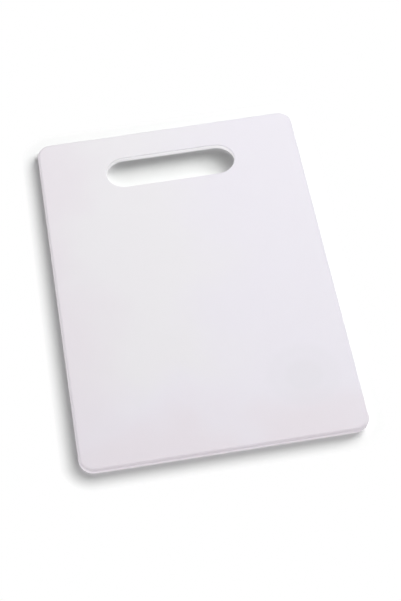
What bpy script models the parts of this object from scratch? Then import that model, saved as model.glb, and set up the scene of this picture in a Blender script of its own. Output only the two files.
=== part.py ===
"""A plastic cutting board with a handle slot, in metres, with +Z up.

The board lies flat on its underside. The origin is the middle of the underside,
and +Y points to the end that has the handle slot.
"""

import math

import bmesh
import bpy
from mathutils import Matrix, Vector

# The slab: its outline seen from above, and the rounding between a face and the outer wall. That
# rounding is a quarter of an ellipse: it reaches further in over the face than down the wall.
WIDTH = 0.200
LENGTH = 0.300
THICKNESS = 0.004
CORNER_RADIUS = 0.011
RIM_WIDTH = 0.0023
RIM_HEIGHT = 0.0018

# The handle slot: a straight slot with two half-round ends, near the far end of the slab.
# The margin is the plain board left between the slot and that end.
SLOT_LENGTH = 0.099
SLOT_WIDTH = 0.029
SLOT_MARGIN = 0.025
SLOT_RIM_RADIUS = 0.0008

# The least height of plain wall between a wall's two roundings.
PLAIN_WALL = 0.0004

# Straight steps that stand for each rounded stretch.
CORNER_STEPS = 10
SLOT_END_STEPS = 10
RIM_STEPS = 5

MERGE_DISTANCE = 0.000001

# The moulded plastic: a milky white that leans slightly to violet, with a satin finish.
PLASTIC_COLOUR = (0.83, 0.81, 0.85, 1.0)
PLASTIC_ROUGHNESS = 0.42


def remove_everything():
    for scene_object in list(bpy.data.objects):
        bpy.data.objects.remove(scene_object, do_unlink=True)


def plastic():
    material = bpy.data.materials.new("white_plastic")
    material.use_nodes = True
    shader = material.node_tree.nodes["Principled BSDF"]
    shader.inputs["Base Color"].default_value = PLASTIC_COLOUR
    shader.inputs["Roughness"].default_value = PLASTIC_ROUGHNESS
    shader.inputs["Metallic"].default_value = 0.0
    return material


def wall_section(rim_width, rim_height, outward):
    """Gives a wall's section from the underside to the top face, as (sideways, height) pairs.

    Sideways is counted from the plain wall, away from the middle of its outline. The plastic
    lies on the near side of the outer wall (outward 1) and on the far side of a slot's (-1).
    """
    rounded_height = min(rim_height, (THICKNESS - PLAIN_WALL) / 2)
    lower = []
    for step in range(RIM_STEPS + 1):
        angle = math.radians(90) * step / RIM_STEPS
        drawn_back = rim_width * (1 - math.sin(angle))
        height = rounded_height * (1 - math.cos(angle))
        lower.append((-outward * drawn_back, height))
    upper = [(sideways, THICKNESS - height) for sideways, height in reversed(lower)]
    return lower + upper


def sweep_wall(mesh, section, size_x, size_y, corner_radius, centre_y, corner_steps):
    """Sweeps a wall's section once round a rectangle with round corners."""
    start = Vector((size_x / 2, centre_y - size_y / 2 + corner_radius, 0))
    verts = [mesh.verts.new(start + Vector((sideways, 0, height))) for sideways, height in section]
    edges = [mesh.edges.new(pair) for pair in zip(verts, verts[1:])]
    swept = verts + edges
    corner_x = size_x / 2 - corner_radius
    corner_y = size_y / 2 - corner_radius
    corners = ((corner_x, corner_y), (-corner_x, corner_y), (-corner_x, -corner_y), (corner_x, -corner_y))
    for side, (turn_x, turn_y) in enumerate(corners):
        straight = 2 * (corner_y if side % 2 == 0 else corner_x)
        if straight > MERGE_DISTANCE:
            # A spin with no turn and one step carries the section straight along the side.
            run = Matrix.Rotation(math.radians(90) * side, 3, "Z") @ Vector((0, straight, 0))
            swept = bmesh.ops.spin(mesh, geom=swept, dvec=run, axis=(0, 0, 1), angle=0, steps=1)["geom_last"]
        swept = bmesh.ops.spin(
            mesh,
            geom=swept,
            cent=(turn_x, centre_y + turn_y, 0),
            axis=(0, 0, 1),
            angle=math.radians(90),
            steps=corner_steps,
        )["geom_last"]
    bmesh.ops.remove_doubles(mesh, verts=mesh.verts, dist=MERGE_DISTANCE)


def fill_face(mesh, height):
    """Fills the flat face between the outer wall and the slot's wall at one height."""
    rims = [
        edge
        for edge in mesh.edges
        if edge.is_boundary and abs(edge.verts[0].co.z - height) < MERGE_DISTANCE
    ]
    bmesh.ops.triangle_fill(mesh, edges=rims, use_beauty=True)


def board():
    """One slab of plastic, moulded whole with its handle slot."""
    mesh = bmesh.new()
    outer_section = wall_section(RIM_WIDTH, RIM_HEIGHT, 1)
    sweep_wall(mesh, outer_section, WIDTH, LENGTH, CORNER_RADIUS, 0, CORNER_STEPS)
    slot_y = LENGTH / 2 - SLOT_MARGIN - SLOT_WIDTH / 2
    slot_section = wall_section(SLOT_RIM_RADIUS, SLOT_RIM_RADIUS, -1)
    sweep_wall(mesh, slot_section, SLOT_LENGTH, SLOT_WIDTH, SLOT_WIDTH / 2, slot_y, SLOT_END_STEPS)
    for face in mesh.faces:
        face.smooth = True
    fill_face(mesh, 0)
    fill_face(mesh, THICKNESS)
    bmesh.ops.recalc_face_normals(mesh, faces=mesh.faces)

    data = bpy.data.meshes.new("board")
    mesh.to_mesh(data)
    mesh.free()
    data.materials.append(plastic())
    slab = bpy.data.objects.new("board", data)
    bpy.context.collection.objects.link(slab)
    return slab


remove_everything()
board()
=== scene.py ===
import math

import bmesh
import bpy
from mathutils import Matrix, Quaternion, Vector


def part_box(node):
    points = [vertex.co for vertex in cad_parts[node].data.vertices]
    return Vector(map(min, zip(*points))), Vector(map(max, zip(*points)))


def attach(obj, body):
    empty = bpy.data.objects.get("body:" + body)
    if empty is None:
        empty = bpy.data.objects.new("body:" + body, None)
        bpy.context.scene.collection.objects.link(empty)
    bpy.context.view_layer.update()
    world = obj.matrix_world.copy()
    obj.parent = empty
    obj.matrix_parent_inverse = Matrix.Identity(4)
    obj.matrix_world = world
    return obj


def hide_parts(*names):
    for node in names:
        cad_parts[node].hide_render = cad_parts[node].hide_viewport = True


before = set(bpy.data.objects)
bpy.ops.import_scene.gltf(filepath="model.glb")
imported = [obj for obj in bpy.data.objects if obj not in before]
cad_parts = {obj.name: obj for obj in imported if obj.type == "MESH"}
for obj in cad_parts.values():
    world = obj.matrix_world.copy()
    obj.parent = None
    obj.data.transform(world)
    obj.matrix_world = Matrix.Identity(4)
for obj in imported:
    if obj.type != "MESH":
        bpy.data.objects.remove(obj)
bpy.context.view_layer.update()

# The board is one slab of white polyethylene, moulded whole with its handle slot near the far end.
# Its outer wall and the slot's wall are rounded over into both faces, and a narrow band of plain
# wall is left between a wall's two roundings.
board_low, board_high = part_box("board")
BOARD_SIZE = board_high - board_low
CORNER_RADIUS = 0.011
RIM_WIDTH = 0.0023
RIM_HEIGHT = 0.0018
SLOT_LENGTH = 0.099
SLOT_WIDTH = 0.029
SLOT_MARGIN = 0.025
SLOT_RIM_RADIUS = 0.0008
FLAT_LEAD = 0.0003
CORNER_STEPS = 32
RIM_STEPS = 14
MERGE_DISTANCE = 0.000001


def wall_section(rim_width, rim_height, outward):
    """Gives a wall's section from the underside's flat to the top face's, as (sideways, height) pairs.

    Sideways is counted from the plain wall, away from the middle of its outline. The plastic
    lies on the near side of the outer wall (outward 1) and on the far side of the slot's (-1).
    """
    quarter = [math.radians(90) * step / RIM_STEPS for step in range(RIM_STEPS + 1)]
    arc = [(rim_width * (1 - math.sin(turn)), rim_height * (1 - math.cos(turn))) for turn in quarter]
    # A narrow strip of the flat face leads into the rounding, so the face keeps an even shade.
    arc.insert(0, (rim_width + FLAT_LEAD, 0))
    lower = [(-outward * back, board_low.z + rise) for back, rise in arc]
    upper = [(-outward * back, board_high.z - rise) for back, rise in reversed(arc)]
    return lower + upper


def sweep_wall(mesh, section, size_x, size_y, corner_radius, centre_y):
    """Sweeps a wall's section once round a rectangle with round corners."""
    start = Vector((size_x / 2, centre_y - size_y / 2 + corner_radius, 0))
    verts = [mesh.verts.new(start + Vector((sideways, 0, height))) for sideways, height in section]
    swept = verts + [mesh.edges.new(pair) for pair in zip(verts, verts[1:])]
    corner_x = size_x / 2 - corner_radius
    corner_y = size_y / 2 - corner_radius
    corners = ((corner_x, corner_y), (-corner_x, corner_y), (-corner_x, -corner_y), (corner_x, -corner_y))
    for side, (turn_x, turn_y) in enumerate(corners):
        straight = 2 * (corner_y if side % 2 == 0 else corner_x)
        if straight > MERGE_DISTANCE:
            # A spin with no turn and one step carries the section straight along the side.
            run = Matrix.Rotation(math.radians(90) * side, 3, "Z") @ Vector((0, straight, 0))
            swept = bmesh.ops.spin(mesh, geom=swept, dvec=run, axis=(0, 0, 1), angle=0, steps=1)["geom_last"]
        swept = bmesh.ops.spin(
            mesh,
            geom=swept,
            cent=(turn_x, centre_y + turn_y, 0),
            axis=(0, 0, 1),
            angle=math.radians(90),
            steps=CORNER_STEPS,
        )["geom_last"]
    bmesh.ops.remove_doubles(mesh, verts=mesh.verts, dist=MERGE_DISTANCE)


def fill_face(mesh, height):
    """Fills the flat face between the outer wall and the slot's wall at one height."""
    rims = [
        edge
        for edge in mesh.edges
        if edge.is_boundary and abs(edge.verts[0].co.z - height) < MERGE_DISTANCE
    ]
    bmesh.ops.triangle_fill(mesh, edges=rims, use_beauty=True)


slab = bmesh.new()
outer_section = wall_section(RIM_WIDTH, RIM_HEIGHT, 1)
sweep_wall(slab, outer_section, BOARD_SIZE.x, BOARD_SIZE.y, CORNER_RADIUS, 0)
slot_y = board_high.y - SLOT_MARGIN - SLOT_WIDTH / 2
slot_section = wall_section(SLOT_RIM_RADIUS, SLOT_RIM_RADIUS, -1)
sweep_wall(slab, slot_section, SLOT_LENGTH, SLOT_WIDTH, SLOT_WIDTH / 2, slot_y)
fill_face(slab, board_low.z)
fill_face(slab, board_high.z)
bmesh.ops.recalc_face_normals(slab, faces=slab.faces)
for face in slab.faces:
    face.smooth = True
board_mesh = bpy.data.meshes.new("moulded_board")
slab.to_mesh(board_mesh)
slab.free()
moulded_board = bpy.data.objects.new("moulded_board", board_mesh)
bpy.context.scene.collection.objects.link(moulded_board)


class Number:
    """A socket that holds a value. Plain arithmetic on it adds Math nodes to its finish."""

    def __init__(self, finish, socket):
        self.finish = finish
        self.socket = socket

    def maths(self, operation, other):
        """Adds a Math node that works on this number and another, and gives its result."""
        outputs = self.finish.node("ShaderNodeMath", {0: self, 1: other}, operation=operation)
        return Number(self.finish, outputs[0])

    def __add__(self, other):
        return self.maths("ADD", other)

    def __sub__(self, other):
        return self.maths("SUBTRACT", other)

    def __mul__(self, other):
        return self.maths("MULTIPLY", other)

    def __pow__(self, other):
        return self.maths("POWER", other)

    def __abs__(self):
        return (self ** 2) ** 0.5

    def hypot(self, other):
        """The distance covered by this far one way and other far at right angles to it."""
        return (self ** 2 + other ** 2) ** 0.5

    def beyond(self, half):
        """How far a coordinate lies outside a half width, or 0 inside it."""
        return (abs(self) - half).maths("MAXIMUM", 0)

    def either(self, other):
        """Joins two shares from 0 to 1 into one that is full where one of them is full."""
        return self + other - self * other


class Finish:
    """The nodes of one material, or of the room's light."""

    def __init__(self, owner):
        self.owner = owner
        owner.use_nodes = True
        self.tree = owner.node_tree
        self.tree.nodes.clear()

    def node(self, kind, inputs, **settings):
        """Adds a node, sets it up, gives its sockets their values or links, and gives its outputs."""
        made = self.tree.nodes.new(kind)
        for name, value in settings.items():
            setattr(made, name, value)
        for name, value in inputs.items():
            if isinstance(value, Number):
                value = value.socket
            if isinstance(value, bpy.types.NodeSocket):
                self.tree.links.new(value, made.inputs[name])
            else:
                made.inputs[name].default_value = value
        return made.outputs

    def fade(self, value, at_0, at_1):
        """A smooth step: 0 where the value is at_0, 1 where it is at_1."""
        limits = {"Value": value, "From Min": at_0, "From Max": at_1}
        return Number(self, self.node("ShaderNodeMapRange", limits, interpolation_type="SMOOTHSTEP")[0])

    def noise(self, place, scale):
        """Soft noise from 0 to 1. Scale is its number of lumps in a metre."""
        inputs = {"Vector": place, "Scale": scale, "Detail": 2, "Roughness": 0.5}
        return Number(self, self.node("ShaderNodeTexNoise", inputs)["Fac"])

    def mix_colour(self, factor, colour_a, colour_b):
        """Colour a where the factor is 0, and colour b where it is 1."""
        return self.node("ShaderNodeMix", {0: factor, 6: colour_a, 7: colour_b}, data_type="RGBA")[2]

    def place(self):
        """The point's coordinates on its object, as one vector and as three numbers."""
        vector = self.node("ShaderNodeTexCoord", {})["Object"]
        split = self.node("ShaderNodeSeparateXYZ", {0: vector})
        return vector, *(Number(self, socket) for socket in split)


# Tints of light and shade are painted into the plastic's white. A cool tint is painted cool light in the
# right half and the near third, and a darker pink tint is painted shade along the left and near edges. Each
# pair of places says where a tint starts and where it is full, and a broad noise makes those borders wander.
PLAIN_WHITE = (0.790, 0.773, 0.799, 1.0)
COOL_PAINTED_LIGHT = (0.783, 0.757, 0.819, 1.0)
COOL_LIGHT_RIGHT = (-0.030, 0.055)
COOL_LIGHT_NEAR = (-0.070, -0.125)
PINK_PAINTED_SHADE = (0.767, 0.716, 0.766, 1.0)
PINK_SHADE_LEFT = (-0.045, -0.105)
PINK_SHADE_LEFT_SHARE = 0.7
PINK_SHADE_NEAR = (-0.100, -0.155)
WANDER_SCALE = 13
WANDER_REACH = 0.12

plastic = Finish(bpy.data.materials.new("white_plastic"))
place, x, y, z = plastic.place()
wander = (plastic.noise(place, WANDER_SCALE) - 0.5) * WANDER_REACH
cool_light_right = plastic.fade(x + wander, *COOL_LIGHT_RIGHT)
cool_light_near = plastic.fade(y + wander, *COOL_LIGHT_NEAR)
pink_shade_left = plastic.fade(x + wander, *PINK_SHADE_LEFT) * PINK_SHADE_LEFT_SHARE
pink_shade_near = plastic.fade(y + wander, *PINK_SHADE_NEAR)
# The painted cool light, then the painted pink shade, are mixed into the white.
white = plastic.mix_colour(cool_light_right.either(cool_light_near), PLAIN_WHITE, COOL_PAINTED_LIGHT)
white = plastic.mix_colour(pink_shade_left.either(pink_shade_near), white, PINK_PAINTED_SHADE)

# The slot's wall is painted a brighter white, a painted highlight that makes the slot's far side show as a
# bright line. That painted highlight fades out in the first part of the wall's rounding.
SLOT_WALL_HIGHLIGHT = (0.945, 0.925, 0.950, 1.0)
SLOT_HIGHLIGHT_REACH = SLOT_RIM_RADIUS * 0.3

along_slot = x.beyond((SLOT_LENGTH - SLOT_WIDTH) / 2)
from_slot = along_slot.hypot(y - slot_y) - SLOT_WIDTH / 2
# The painted highlight covers the slot's wall and the start of its rounding.
slot_wall_highlight = plastic.fade(from_slot, SLOT_HIGHLIGHT_REACH, 0)
white = plastic.mix_colour(slot_wall_highlight, white, SLOT_WALL_HIGHLIGHT)

# A faint round shade lies on the top face near its near right corner: a disc, and a wider halo
# round it. Each has the radius at which it starts and the radius at which it is full.
SHADE_TINT = (0.745, 0.725, 0.775, 1.0)
SHADE_X = 0.063
SHADE_Y = -0.099
SHADE_DEPTH = 0.0003
DISC_RADII = (0.0161, 0.0098)
DISC_SHARE = 0.4
HALO_RADII = (0.0297, 0.0216)
HALO_SHARE = 0.35

from_shade = (x - SHADE_X).hypot(y - SHADE_Y)
disc = plastic.fade(from_shade, *DISC_RADII)
halo = plastic.fade(from_shade, *HALO_RADII)
on_top = plastic.fade(z, board_high.z - SHADE_DEPTH, board_high.z)
shade = (disc * DISC_SHARE + halo * HALO_SHARE) * on_top
white = plastic.mix_colour(shade, white, SHADE_TINT)

# Both faces have a fine satin grain, which is gone a little way down the roundings. The walls are
# smoother. Light scatters weakly inside the plastic.
GRAIN_SCALE = 1100
GRAIN_HEIGHT = 0.00004
GRAIN_DEPTH = 0.0006
WALL_ROUGHNESS = 0.36
FACE_ROUGHER = 0.08
GRAIN_ROUGHER = 0.06
REFRACTIVE_INDEX = 1.5
SCATTER_SHARE = 0.15
SCATTER_DISTANCE = 0.003
SCATTER_COLOUR = (1.0, 0.95, 1.0)

grain = plastic.noise(place, GRAIN_SCALE)
off_middle = abs(z - (board_low.z + board_high.z) / 2)
on_face = plastic.fade(off_middle, BOARD_SIZE.z / 2 - GRAIN_DEPTH, BOARD_SIZE.z / 2)
bump = plastic.node("ShaderNodeBump", {"Strength": 1.0, "Distance": GRAIN_HEIGHT, "Height": grain * on_face})
shader = plastic.node(
    "ShaderNodeBsdfPrincipled",
    {
        "Base Color": white,
        "Roughness": on_face * FACE_ROUGHER + WALL_ROUGHNESS + grain * GRAIN_ROUGHER,
        "Normal": bump[0],
        "IOR": REFRACTIVE_INDEX,
        "Subsurface Weight": SCATTER_SHARE,
        "Subsurface Scale": SCATTER_DISTANCE,
        "Subsurface Radius": SCATTER_COLOUR,
    },
)
plastic.node("ShaderNodeOutputMaterial", {"Surface": shader[0]})
board_mesh.materials.append(plastic.owner)

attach(moulded_board, "root")
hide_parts("board")

# The table is a plain pale floor that runs on as its own backdrop. Close to the board it shows the
# board's soft shadow, and it turns to plain white further out. The light that it throws back on the
# board is that of a white table.
FLOOR_SIZE = 40.0
FLOOR_GAP = 0.0001
FLOOR_WHITE = (0.914, 0.924, 0.916, 1.0)
FLOOR_BOUNCE = (0.85, 0.85, 0.85, 1.0)
WHITE_FROM = 0.0133
PURE_WHITE = (1.0, 1.0, 1.0, 1.0)

ground = bmesh.new()
bmesh.ops.create_grid(ground, x_segments=1, y_segments=1, size=FLOOR_SIZE / 2)
bmesh.ops.translate(ground, verts=ground.verts, vec=(0, 0, board_low.z - FLOOR_GAP))
floor_mesh = bpy.data.meshes.new("floor")
ground.to_mesh(floor_mesh)
ground.free()
floor = bpy.data.objects.new("floor", floor_mesh)
bpy.context.scene.collection.objects.link(floor)

table = Finish(bpy.data.materials.new("white_table"))
_, x, y, _ = table.place()
past_x = x.beyond(BOARD_SIZE.x / 2 - CORNER_RADIUS)
past_y = y.beyond(BOARD_SIZE.y / 2 - CORNER_RADIUS)
away = past_x.hypot(past_y) - CORNER_RADIUS
whiteness = table.node("ShaderNodeMapRange", {"Value": away, "From Min": 0, "From Max": WHITE_FROM})
lit = table.node("ShaderNodeBsdfDiffuse", {"Color": FLOOR_WHITE})
plain_white = table.node("ShaderNodeEmission", {"Color": PURE_WHITE})
thrown_back = table.node("ShaderNodeEmission", {"Color": FLOOR_BOUNCE})
rays = table.node("ShaderNodeLightPath", {})
mirrored = Number(table, rays["Is Glossy Ray"]) + rays["Is Transmission Ray"]
seen = table.node("ShaderNodeMixShader", {0: whiteness[0], 1: lit[0], 2: plain_white[0]})
to_board = table.node("ShaderNodeMixShader", {0: mirrored, 1: thrown_back[0], 2: plain_white[0]})
surface = table.node("ShaderNodeMixShader", {0: rays["Is Camera Ray"], 1: to_board[0], 2: seen[0]})
table.node("ShaderNodeOutputMaterial", {"Surface": surface[0]})
floor_mesh.materials.append(table.owner)

# The room beyond the table is white to the eye and in reflections. It gives only a weak light of its
# own, so the board is lit by the lamps and by the table.
ROOM_LIGHT = 0.06

room = Finish(bpy.data.worlds.new("studio"))
rays = room.node("ShaderNodeLightPath", {})
looked_at = Number(room, rays["Is Camera Ray"]) + rays["Is Glossy Ray"] + rays["Is Transmission Ray"]
weak = room.node("ShaderNodeBackground", {"Color": PURE_WHITE, "Strength": ROOM_LIGHT})
white_room = room.node("ShaderNodeBackground", {"Color": PURE_WHITE})
around = room.node("ShaderNodeMixShader", {0: looked_at, 1: weak[0], 2: white_room[0]})
room.node("ShaderNodeOutputWorld", {"Surface": around[0]})
bpy.context.scene.world = room.owner


# The lamps are soft boxes, and each lights only the board or only the table. The board has a large
# one high beyond its far end, a smaller one for its right rim, and two low ones for the walls that
# face the camera.
def light_group(name, lit_object):
    """Makes a set of objects that lamps can be limited to."""
    group = bpy.data.collections.new(name)
    group.objects.link(lit_object)
    return group


def soft_box(name, group, azimuth, elevation, distance, width, height, level):
    """Adds a soft box that faces the board.

    Azimuth is counted in degrees from +X towards +Y. Level is the brightness of white card that
    lies at the origin and faces the box.
    """
    lamp = bpy.data.lights.new(name, "AREA")
    lamp.shape = "RECTANGLE"
    lamp.size = width
    lamp.size_y = height
    lamp.energy = level * math.pi ** 2 * distance ** 2
    box = bpy.data.objects.new(name, lamp)
    turn = math.radians(azimuth)
    rise = math.radians(elevation)
    towards = Vector((math.cos(turn) * math.cos(rise), math.sin(turn) * math.cos(rise), math.sin(rise)))
    box.location = towards * distance
    box.rotation_mode = "QUATERNION"
    box.rotation_quaternion = towards.to_track_quat("Z", "Y")
    box.visible_camera = False
    box.light_linking.receiver_collection = group
    bpy.context.scene.collection.objects.link(box)


on_board = light_group("lit_board", moulded_board)
soft_box("far_box", on_board, azimuth=76, elevation=50, distance=5.6, width=3.0, height=3.0, level=0.80)
soft_box("right_box", on_board, azimuth=5, elevation=30, distance=4.0, width=1.6, height=1.6, level=0.36)
soft_box("front_low", on_board, azimuth=-143, elevation=7, distance=3.0, width=3.6, height=0.6, level=0.62)
soft_box("corner_low", on_board, azimuth=-65, elevation=7, distance=3.0, width=2.0, height=0.6, level=0.20)

# The table's lamps stand one above the other at the far right, and throw the board's soft shadow.
# Each has its elevation, the degrees of height that it covers, and its share of the table's light.
# A last one, low at the near right, softens the shadow under the near edge.
TABLE_AZIMUTH = 42
TABLE_DISTANCE = 3.6
TABLE_LAMP_WIDTH = 3.0
TABLE_LAMPS = ((9, 2.8, 0.26), (13, 5.2, 0.32), (19, 7.4, 0.19), (32, 22, 0.19), (60, 35, 0.06))

on_table = light_group("lit_table", floor)
for elevation, spread, share in TABLE_LAMPS:
    soft_box(
        f"table_lamp_{elevation}",
        on_table,
        azimuth=TABLE_AZIMUTH,
        elevation=elevation,
        distance=TABLE_DISTANCE,
        width=TABLE_LAMP_WIDTH,
        height=2 * TABLE_DISTANCE * math.tan(math.radians(spread / 2)),
        level=share / math.sin(math.radians(elevation)),
    )
soft_box(
    "table_front_low",
    on_table,
    azimuth=-55,
    elevation=4.5,
    distance=TABLE_DISTANCE,
    width=2.0,
    height=0.25,
    level=1.10,
)

# The camera stands back from the near end, a little to the left, and looks down on the board. It is
# rolled slightly. The azimuth is that of its line of sight, in degrees from +Y towards +X.
AIM = Vector((0.0023, -0.0218, board_high.z))
CAMERA_DISTANCE = 1.194
CAMERA_AZIMUTH = 6.13
CAMERA_ELEVATION = 53.1
CAMERA_ROLL = -3.65
LENS = 99.2

lens = bpy.data.cameras.new("camera")
lens.lens = LENS
camera = bpy.data.objects.new("camera", lens)
turn = math.radians(CAMERA_AZIMUTH)
drop = math.radians(CAMERA_ELEVATION)
look = Vector((math.sin(turn) * math.cos(drop), math.cos(turn) * math.cos(drop), -math.sin(drop)))
camera.location = AIM - look * CAMERA_DISTANCE
camera.rotation_mode = "QUATERNION"
roll = Quaternion((0, 0, 1), math.radians(CAMERA_ROLL))
camera.rotation_quaternion = look.to_track_quat("-Z", "Y") @ roll
bpy.context.scene.collection.objects.link(camera)
bpy.context.scene.camera = camera
bpy.context.scene.view_settings.view_transform = "Standard"
